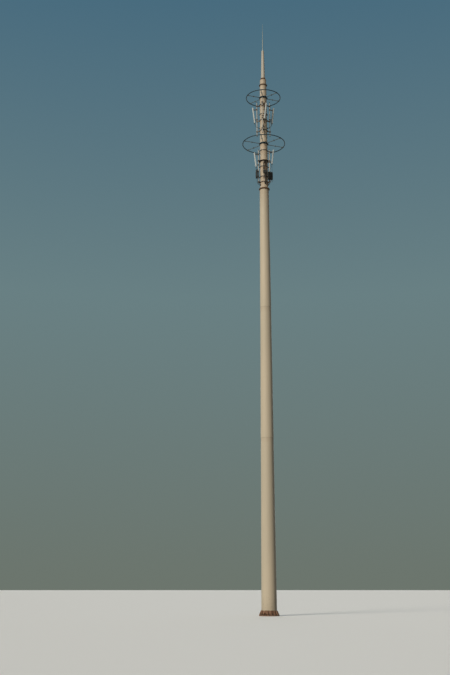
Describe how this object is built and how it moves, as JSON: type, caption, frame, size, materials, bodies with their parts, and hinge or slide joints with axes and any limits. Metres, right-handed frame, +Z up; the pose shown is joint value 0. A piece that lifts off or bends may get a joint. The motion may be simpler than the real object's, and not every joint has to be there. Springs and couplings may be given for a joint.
{
  "type": "radio mast",
  "caption": "Tall tapered round steel radio mast with ring frames, panel antennas, radio units, a spire and a lightning rod on a bolted base flange.",
  "frame": {"origin": "centre of the base flange's underside, on the mast's axis", "axes": "+Z up along the mast's axis, -Y the front that the picture shows, +X to its right"},
  "size_m": [2.8898, 2.8898, 39.84],
  "materials": {
    "shaft_paint": "satin, weathered",
    "foot_steel": "matte, weathered",
    "flange_steel": "matte, weathered",
    "rod_steel": "dull",
    "ring_galvanised": "dull galvanised",
    "clamp_steel": "dull galvanised",
    "pipe_steel": "satin",
    "radome_white": "satin",
    "connector_metal": "dull",
    "radio_casting": "matte",
    "cable_sheath": "matte"
  },
  "bodies": {
    "root": {"base_flange": "foot_steel", "base_gussets": "foot_steel", "shaft_lower": "shaft_paint", "shaft_middle": "shaft_paint", "shaft_upper": "shaft_paint", "access_frame": "shaft_paint", "access_cover": "shaft_paint", "shaft_flange": "flange_steel", "head_flange": "flange_steel", "head_tube": "shaft_paint", "neck_flanges": "flange_steel", "neck_tube": "shaft_paint", "spire_flanges": "flange_steel", "spire_tube": "shaft_paint", "lightning_rod": "rod_steel", "lower_rim": "ring_galvanised", "lower_spokes": "ring_galvanised", "lower_hub": "ring_galvanised", "lower_rim_clamps": "ring_galvanised", "upper_rim": "ring_galvanised", "upper_spokes": "ring_galvanised", "upper_hub": "ring_galvanised", "upper_rim_clamps": "ring_galvanised", "lower_bands": "clamp_steel", "upper_bands": "clamp_steel", "lower_arm_bands": "clamp_steel", "upper_arm_bands": "clamp_steel", "lower_standoffs": "clamp_steel", "upper_standoffs": "clamp_steel", "lower_pipes": "pipe_steel", "upper_pipes": "pipe_steel", "lower_panel_left": "radome_white", "lower_panel_right": "radome_white", "lower_panel_rear": "radome_white", "upper_panel_front": "radome_white", "upper_panel_left": "radome_white", "upper_panel_right": "radome_white", "lower_tilt_brackets": "clamp_steel", "upper_tilt_brackets": "clamp_steel", "lower_connectors": "connector_metal", "upper_connectors": "connector_metal", "radio_left": "radio_casting", "radio_right": "radio_casting", "radio_rear": "radio_casting", "junction_box": "radio_casting", "cable_ports": "clamp_steel", "lower_jumpers": "cable_sheath", "upper_jumpers": "cable_sheath", "feeder_run": "cable_sheath"}
  },
  "joints": []
}
